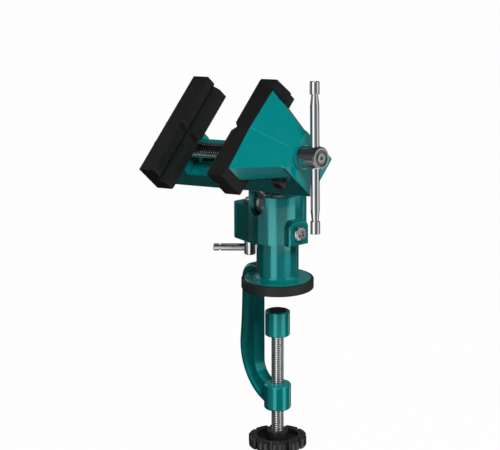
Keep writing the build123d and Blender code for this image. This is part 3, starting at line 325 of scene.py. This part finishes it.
def makeMoulding(name):
    look = mouldings[name]
    mat, tree, shader = startMaterial(name)
    grain = placeGroup(
        tree, grainGroup, {"Fine Scale": look["fineScale"], "Broad Scale": mouldingGrain["broadScale"]})
    wear = placeGroup(tree, edgeWearGroup, {"Radius": mouldingGrain["edgeRadius"]})
    dust = placeGroup(tree, dustGroup)
    clouds = mathNode(tree, "MULTIPLY", grain["Clouds"], mouldingGrain["cloudShare"])
    colour = blendColour(tree, clouds, look["base"], look["pale"])
    worn = mathNode(tree, "MULTIPLY", wear["Mask"], look["wearShare"])
    dusty = mathNode(tree, "MULTIPLY", dust["Mask"], look["dustShare"])
    smooth = look["rough"] - mouldingGrain["roughSpread"]
    coarse = look["rough"] + mouldingGrain["roughSpread"]
    feed(tree, shader, {
        "Base Color": blendColour(tree, mathNode(tree, "ADD", worn, dusty, True), colour, look["pale"]),
        "Roughness": blendValue(tree, grain["Clouds"], smooth, coarse),
        "Specular IOR Level": look["shine"],
        "Normal": bump(tree, grain["Height"], look["lumps"], look["lumpDepth"], wear["Rounded Normal"])})
    return mat


finishes = dict(tealEnamel=makeEnamel("tealEnamel"))
for finishName in metals:
    finishes[finishName] = makeMetal(finishName)
for finishName in mouldings:
    finishes[finishName] = makeMoulding(finishName)
print("finishes ready:", len(finishes))

nodesByFinish = dict(
    tealEnamel=("clamp_frame", "ball_socket", "pressure_pad", "vise_body", "movable_jaw"),
    brightChrome=("tee_bar", "tee_bar_caps"),
    zincPlate=("socket_screw", "lever_hub", "spindle", "thrust_washer"),
    turnedSteel=("brake_shoe", "cam_shaft", "clamp_screw", "jaw_keeper", "spindle_nut"),
    ballSteel=("ball_stud", "lever_rod"),
    blackSteel=("shaft_ring", "pad_clip", "stud_bolt", "keeper_screws", "bed_stop_screw",
                "spindle_retaining_screw"),
    softJawPlastic=("fixed_jaw_pad", "movable_jaw_pad"),
    knobPlastic=("clamp_knob",),
    footRubber=("base_ring", "pad_cap"),
    seatNylon=("ball_seat",))
for finishName, nodeNames in nodesByFinish.items():
    for nodeName in nodeNames:
        nodes[nodeName].data.materials.clear()
        nodes[nodeName].data.materials.append(finishes[finishName])
    print(finishName, "on", len(nodeNames), "nodes")


# helical screw threads

# crest and flank are shares of half a pitch
threadForm = dict(sides=48, rowsPerTurn=12, crestShare=0.42, flankShare=0.36, sharpAngle=math.radians(38))


def threadRows(profile, pitch, span):  # height, radius and whether it is threaded, for each ring
    rows = []
    for (z0, r0), (z1, r1) in zip(profile, profile[1:]):
        threaded = z0 >= span[0] - sameHeight and z1 <= span[1] + sameHeight and z1 > z0
        steps = max(1, int((z1 - z0) / pitch * threadForm["rowsPerTurn"])) if threaded else 1
        for step in range(steps):
            rows.append((z0 + (z1 - z0) * step / steps, r0 + (r1 - r0) * step / steps, threaded))
    rows.append((*profile[-1], False))
    return rows


def threadCut(height, angle, look, span):  # how deep the groove is at one point of the wall
    pitch = look["pitch"]
    phase = (height / pitch - angle / (2 * math.pi)) % 1
    fromCrest = abs(phase - 0.5) * 2  # 0 in the middle of a crest, 1 in the middle of a groove
    sunk = min(1, max(0, (fromCrest - threadForm["crestShare"]) / threadForm["flankShare"]))
    runOut = min(1, (height - span[0]) / pitch, (span[1] - height) / pitch)
    return look["depth"] * sunk * max(0, runOut)


def helixRod(name, finishName, profile, look, span):
    # profile is a list of (height, radius); a right-hand helix cuts the wall between the heights in span
    sides = threadForm["sides"]
    shape = bmesh.new()
    rings = []
    cuts = {}
    for height, radius, threaded in threadRows(profile, look["pitch"], span):
        ring = []
        for side in range(sides):
            angle = 2 * math.pi * side / sides
            cut = threadCut(height, angle, look, span) if threaded else 0
            reach = radius - cut
            point = shape.verts.new((reach * math.cos(angle), reach * math.sin(angle), height))
            cuts[point] = cut
            ring.append(point)
        rings.append(ring)
    for lower, upper in zip(rings, rings[1:]):
        for side in range(sides):
            following = (side + 1) % sides
            face = shape.faces.new((lower[side], lower[following], upper[following], upper[side]))
            deep = sum(cuts[point] for point in face.verts) / len(face.verts)
            # faces deep in the groove take the darker metal, as painted shade in the thread roots
            face.material_index = 1 if deep > look["shadedFrom"] * look["depth"] else 0
    shape.faces.new(list(reversed(rings[0])))
    shape.faces.new(rings[-1])
    mesh = bpy.data.meshes.new(name)
    mesh.materials.append(finishes[finishName])
    mesh.materials.append(finishes["threadRootShade"])
    shape.to_mesh(mesh)
    shape.free()
    mesh.shade_smooth()
    mesh.set_sharp_from_angle(angle=threadForm["sharpAngle"])
    return addObject(name, mesh)


def drill(piece, place, radius, length, sides):  # a round hole along the Z of place
    shape = bmesh.new()
    bmesh.ops.create_cone(
        shape, cap_ends=True, segments=sides, radius1=radius, radius2=radius, depth=length)
    mesh = bpy.data.meshes.new("drill")
    shape.to_mesh(mesh)
    shape.free()
    cutter = addObject("drill", mesh)
    cutter.matrix_world = place
    cut = piece.modifiers.new("cut", "BOOLEAN")
    cut.operation = "DIFFERENCE"
    cut.solver = "EXACT"
    cut.object = cutter
    bpy.context.view_layer.update()
    cutMesh = bpy.data.meshes.new_from_object(piece.evaluated_get(bpy.context.evaluated_depsgraph_get()))
    piece.modifiers.clear()
    piece.data = cutMesh
    piece.data.name = piece.name
    bpy.data.objects.remove(cutter)
    piece.data.set_sharp_from_angle(angle=threadForm["sharpAngle"])


# shadedFrom is the share of the thread's depth below which the groove takes a darker metal, painted shade
# in the thread roots
clampScrewLook = dict(
    major=4.0 * mm, depth=0.72 * mm, pitch=1.25 * mm, shadedFrom=0.78, root=3.3 * mm, journal=2.8 * mm,
    padGap=0.1 * mm)


def makeClampScrew():
    look = clampScrewLook
    low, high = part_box("clamp_screw")
    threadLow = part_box("clamp_knob")[1][2]
    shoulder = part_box("pressure_pad")[0][2] - look["padGap"]
    profile = [
        (low[2], look["root"]), (threadLow, look["root"]), (threadLow, look["major"]),
        (shoulder, look["major"]), (shoulder, look["journal"]), (high[2], look["journal"])]
    piece = helixRod("clampScrewThread", "turnedSteel", profile, look, (threadLow, shoulder))
    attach(piece, "clamp")
    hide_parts("clamp_screw")
    return piece


clampScrew = makeClampScrew()
print("clamp screw:", len(clampScrew.data.vertices), "points")

# heights along the spindle are measured from the middle of the ball
spindleLook = dict(
    major=5.0 * mm, depth=1.15 * mm, pitch=2.0 * mm, shadedFrom=0.60, tail=-66.0 * mm, threadEnd=36.0 * mm,
    grooveFrom=45.8 * mm, grooveTo=51.2 * mm, grooveRadius=3.1 * mm,
    headFrom=65.3 * mm, headTo=78.8 * mm, headRadius=6.95 * mm, bevel=0.7 * mm,
    recessOuter=5.2 * mm, recessInner=3.0 * mm, recessDepth=0.6 * mm,
    centreRadius=1.1 * mm, centreDepth=2.5 * mm, barRoom=2.86 * mm, barHoleSides=64)


def spindleProfile(look):
    major, groove, head, bevel = look["major"], look["grooveRadius"], look["headRadius"], look["bevel"]
    tail, neck, face = look["tail"], look["headFrom"], look["headTo"]
    floor = face - look["recessDepth"]
    return [
        (tail, major - look["depth"]), (tail, major), (look["threadEnd"], major),
        (look["grooveFrom"], major), (look["grooveFrom"], groove),
        (look["grooveTo"], groove), (look["grooveTo"], major),
        (neck, major), (neck, head - bevel), (neck + bevel, head),
        (face - bevel, head), (face, head - bevel),
        (face, look["recessOuter"]), (floor, look["recessOuter"]),
        (floor, look["recessInner"]), (face, look["recessInner"]),
        (face, look["centreRadius"]), (face - look["centreDepth"], look["centreRadius"])]


def makeSpindle():  # turned along +Z, then laid along the joint's axis
    look = spindleLook
    span = (look["tail"], look["threadEnd"])
    piece = helixRod("spindleThread", "zincPlate", spindleProfile(look), look, span)
    turn = jointNamed("spindle_turn")
    axis = Vector(turn["axis"])
    bar = Vector(jointNamed("tee_bar_slide")["axis"])
    ball = Vector(jointNamed("head_spin")["pos_m"])
    centre = Vector(turn["pos_m"])
    barLow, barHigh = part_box("tee_bar")
    barPlace = ((Vector(barLow) + Vector(barHigh)) / 2 - ball).dot(axis)
    crosswise = Matrix.Translation((0, 0, barPlace)) @ Matrix.Rotation(math.pi / 2, 4, "Y")
    rightThrough = 4 * look["headRadius"]  # well past both sides of the head
    drill(piece, crosswise, look["barRoom"], rightThrough, look["barHoleSides"])
    recessFloor = look["headTo"] - look["recessDepth"]
    for polygon in piece.data.polygons:  # the ring round the end's button takes the darker metal, as painted shade in the recess
        if abs(polygon.center.z - recessFloor) < sameHeight:
            polygon.material_index = 1
    along = Matrix((bar, axis.cross(bar), axis)).transposed().to_4x4()
    along.translation = centre - axis * (centre - ball).dot(axis)
    piece.data.transform(along)
    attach(piece, "screw")
    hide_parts("spindle")
    return piece


spindle = makeSpindle()
print("spindle:", len(spindle.data.vertices), "points")

# the fine line that the mould leaves down the middle of each jaw's slope
castLine = dict(
    width=0.9 * mm, rise=0.22 * mm, sink=0.3 * mm, jawTop=81.6 * mm, fixedFace=39.7 * mm,
    faceToFace=74.4 * mm, runOut=21.0 * mm, slope=0.8475, steps=6, sharpAngle=math.radians(50))


def makeCastLine(name, body, face, side):
    # a shallow rounded bead, laid in the head's own axes: along the spindle, across and up through the jaws
    look = castLine
    spin = jointNamed("head_spin")
    up = Vector(spin["axis"])
    along = Vector(jointNamed("spindle_turn")["axis"])
    across = up.cross(along)
    down = (along * side - up * look["slope"]).normalized()
    out = (along * side * look["slope"] + up).normalized()
    start = Vector(spin["pos_m"]) + along * face + up * look["jawTop"]
    length = look["runOut"] * math.sqrt(1 + look["slope"] ** 2)
    half = look["width"] / 2
    section = [(-half, -look["sink"])]
    for step in range(look["steps"] + 1):
        turn = math.pi * (1 - step / look["steps"])
        section.append((half * math.cos(turn), look["rise"] * math.sin(turn)))
    section.append((half, -look["sink"]))
    ends = (look["sink"], length)
    points = [start + down * place + across * x + out * z for place in ends for x, z in section]
    count = len(section)
    faces = [(i, (i + 1) % count, count + (i + 1) % count, count + i) for i in range(count)]
    faces += [tuple(reversed(range(count))), tuple(range(count, 2 * count))]
    mesh = bpy.data.meshes.new(name)
    mesh.from_pydata(points, [], faces)
    shape = bmesh.new()
    shape.from_mesh(mesh)
    bmesh.ops.recalc_face_normals(shape, faces=shape.faces)
    shape.to_mesh(mesh)
    shape.free()
    mesh.materials.append(finishes["tealEnamel"])
    mesh.shade_smooth()
    mesh.set_sharp_from_angle(angle=look["sharpAngle"])
    piece = addObject(name, mesh)
    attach(piece, body)


makeCastLine("fixedJawCastLine", "head", castLine["fixedFace"], 1)
makeCastLine("movableJawCastLine", "jaw", castLine["fixedFace"] - castLine["faceToFace"], -1)
print("casting lines on both jaws")


# camera, floor and light

# angles in degrees; the target is the point of the part that falls on targetPixel
view = dict(
    target=Vector((0, 0, 0.02)), azimuth=52.0, elevation=16.14, distance=1.5849, focalPixels=2485.7,
    targetPixel=(277.53, 257.01), imageSize=(500, 450), sensor=36.0, clipStart=0.05)


def makeCamera():
    az, el = math.radians(view["azimuth"]), math.radians(view["elevation"])
    back = Vector((math.sin(az) * math.cos(el), -math.cos(az) * math.cos(el), math.sin(el)))
    right = Vector((math.cos(az), math.sin(az), 0))
    place = Matrix((right, back.cross(right), back)).transposed().to_4x4()
    place.translation = view["target"] + back * view["distance"]
    wide, tall = view["imageSize"]
    across, downward = view["targetPixel"]
    optics = bpy.data.cameras.new("camera")
    optics.sensor_width = view["sensor"]
    optics.lens = view["focalPixels"] * view["sensor"] / wide
    optics.shift_x = (wide / 2 - across) / wide
    optics.shift_y = (downward - tall / 2) / wide
    optics.clip_start = view["clipStart"]
    camera = addObject("camera", optics)
    camera.matrix_world = place
    bpy.context.scene.camera = camera


# the floor's drop leaves room for the knob when the foot is wound right down
studio = dict(
    floorSize=30.0, floorDrop=33.0 * mm, floorColour=(0.24, 0.24, 0.24, 1), floorRough=0.9, floorShine=0.0,
    floorGlow=0.985, worldFill=0.10, worldGlow=1.0)


def seenDirectly(tree):  # 1 for what the camera sees, also in a mirror or through glass
    path = addNode(tree, "ShaderNodeLightPath").outputs
    seen = mathNode(tree, "MAXIMUM", path["Is Camera Ray"], path["Is Glossy Ray"])
    return mathNode(tree, "MAXIMUM", seen, path["Is Transmission Ray"])


def makeFloor():
    half = studio["floorSize"] / 2
    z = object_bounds()[0][2] - studio["floorDrop"]
    mesh = bpy.data.meshes.new("floor")
    corners = [(-half, -half, z), (half, -half, z), (half, half, z), (-half, half, z)]
    mesh.from_pydata(corners, [], [(0, 1, 2, 3)])
    mat, tree, shader = startMaterial("floorPaper")
    feed(tree, shader, {
        "Base Color": studio["floorColour"],
        "Roughness": studio["floorRough"],
        "Specular IOR Level": studio["floorShine"]})
    glow = addNode(tree, "ShaderNodeEmission", {"Color": white})
    share = mathNode(tree, "MULTIPLY", seenDirectly(tree), studio["floorGlow"])
    mix = addNode(tree, "ShaderNodeMixShader", {0: share, 1: shader.outputs[0], 2: glow.outputs[0]})
    feed(tree, tree.nodes["Material Output"], {"Surface": mix.outputs[0]})
    mesh.materials.append(mat)
    floor = addObject("floor", mesh)
    floor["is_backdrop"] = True


def makeWorld():
    world = bpy.data.worlds.new("studio")
    bpy.context.scene.world = world
    world.use_nodes = True
    tree = world.node_tree
    strength = blendValue(tree, seenDirectly(tree), studio["worldFill"], studio["worldGlow"])
    feed(tree, tree.nodes["Background"], {"Color": white, "Strength": strength})


# each lamp: place, aim, size along and across, power
lamps = dict(
    key=dict(place=(1.41, -0.41, 1.74), aim=(0, 0, 0.02), size=(1.0, 1.0), power=86),
    side=dict(place=(-1.2, -1.4, 0.6), aim=(0, 0, 0.02), size=(0.4, 1.2), power=1.5),
    rim=dict(place=(0.4, 1.6, 0.9), aim=(0, 0, 0.05), size=(0.4, 1.2), power=4))


def makeLights():
    for name, lamp in lamps.items():
        light = bpy.data.lights.new(name, "AREA")
        light.shape = "RECTANGLE"
        light.size, light.size_y = lamp["size"]
        light.energy = lamp["power"]
        back = (Vector(lamp["place"]) - Vector(lamp["aim"])).normalized()
        obj = addObject(name, light)
        turn = back.to_track_quat("Z", "Y").to_matrix().to_4x4()
        obj.matrix_world = Matrix.Translation(lamp["place"]) @ turn
        obj.visible_glossy = False  # the tent is what shines in the paint and the metal


# softboxes and black flags round the object, seen only in reflections
# each band runs from one bearing to the next, in degrees, with its glow
tent = dict(
    radius=0.40, foot=0.012, apron=0.33, drop=0.9 * mm, lift=0.6 * mm, skirt=-0.084, split=-0.045,
    shoulder=0.26, top=0.62, skylight=0.16, stepDegrees=4.0,
    lowBands=(
        (-74, -43, 1.6), (-43, 0, 0.40), (0, 33, 1.35), (33, 80, 0.05), (80, 94, 0.9), (94, 158, 0.05),
        (158, 240, 0.03), (240, 286, 0.22)),
    skirtBands=(
        (-74, -43, 1.75), (-43, 0, 0.16), (0, 33, 0.44), (33, 80, 0.05), (80, 94, 0.16), (94, 240, 0.04),
        (240, 286, 0.22)),
    middleBands=(
        (-74, -43, 2.4), (-43, 0, 1.1), (0, 33, 2.3), (33, 80, 0.05), (80, 94, 0.3), (94, 240, 0.05),
        (240, 286, 0.55)),
    highBands=(
        (-85, -45, 1.4), (-45, -8, 0.20), (-8, 8, 0.04), (8, 32, 0.85), (32, 60, 0.55), (60, 118, 0.03),
        (118, 176, 0.10), (176, 214, 0.8), (214, 275, 0.10)),
    underBands=((-48, 6, 0.04),), underReach=(0.05, 0.14),
    lidBands=((0, 360, 0.05),), skyBands=((0, 360, 1.0),))


def makeTent():  # each outline is a list of (reach, height), swept round the bands' bearings
    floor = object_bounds()[0][2] - tent["drop"]
    under = floor + tent["lift"]  # a dark cloth under the jaws
    radius, apron, skylight = tent["radius"], tent["apron"], tent["skylight"]
    skirt, split, shoulder, top = tent["skirt"], tent["split"], tent["shoulder"], tent["top"]
    hangBands("tentLow", tent["lowBands"], [(tent["foot"], floor), (apron, floor)])
    hangBands("tentSkirt", tent["skirtBands"], [(apron, floor), (radius, floor), (radius, skirt)])
    hangBands("tentMiddle", tent["middleBands"], [(radius, skirt), (radius, split)])
    hangBands("tentUnder", tent["underBands"], [(reach, under) for reach in tent["underReach"]])
    hangBands("tentHigh", tent["highBands"], [(radius, split), (radius, shoulder)])
    hangBands("tentLid", tent["lidBands"], [(radius, shoulder), (radius, top), (skylight, top)])
    hangBands("tentSky", tent["skyBands"], [(skylight, top), (0, top)])


def hangBands(name, bands, outline):
    rows = len(outline)
    for number, (start, end, glow) in enumerate(bands):
        steps = max(1, round((end - start) / tent["stepDegrees"]))
        bearings = [math.radians(start + (end - start) * step / steps) for step in range(steps + 1)]
        points = [(r * math.cos(a), r * math.sin(a), z) for a in bearings for r, z in outline]
        corners = [step * rows + row for step in range(steps) for row in range(rows - 1)]
        faces = [(corner, corner + rows, corner + rows + 1, corner + 1) for corner in corners]
        hangPanel(name + str(number), points, faces, glow)


def hangPanel(name, points, faces, glow):
    mesh = bpy.data.meshes.new(name)
    mesh.from_pydata(points, [], faces)
    mat, tree, shader = startMaterial(name)
    tree.nodes.remove(shader)
    light = addNode(tree, "ShaderNodeEmission", {"Color": white, "Strength": glow})
    feed(tree, tree.nodes["Material Output"], {"Surface": light.outputs[0]})
    mesh.materials.append(mat)
    panel = addObject(name, mesh)
    panel.visible_camera = False
    panel.visible_diffuse = False
    panel.visible_transmission = False
    panel.visible_shadow = False
    panel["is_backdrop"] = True


makeCamera()
makeFloor()
makeWorld()
makeLights()
makeTent()
bpy.context.scene.view_settings.view_transform = "Standard"
print("camera, floor and lights ready")
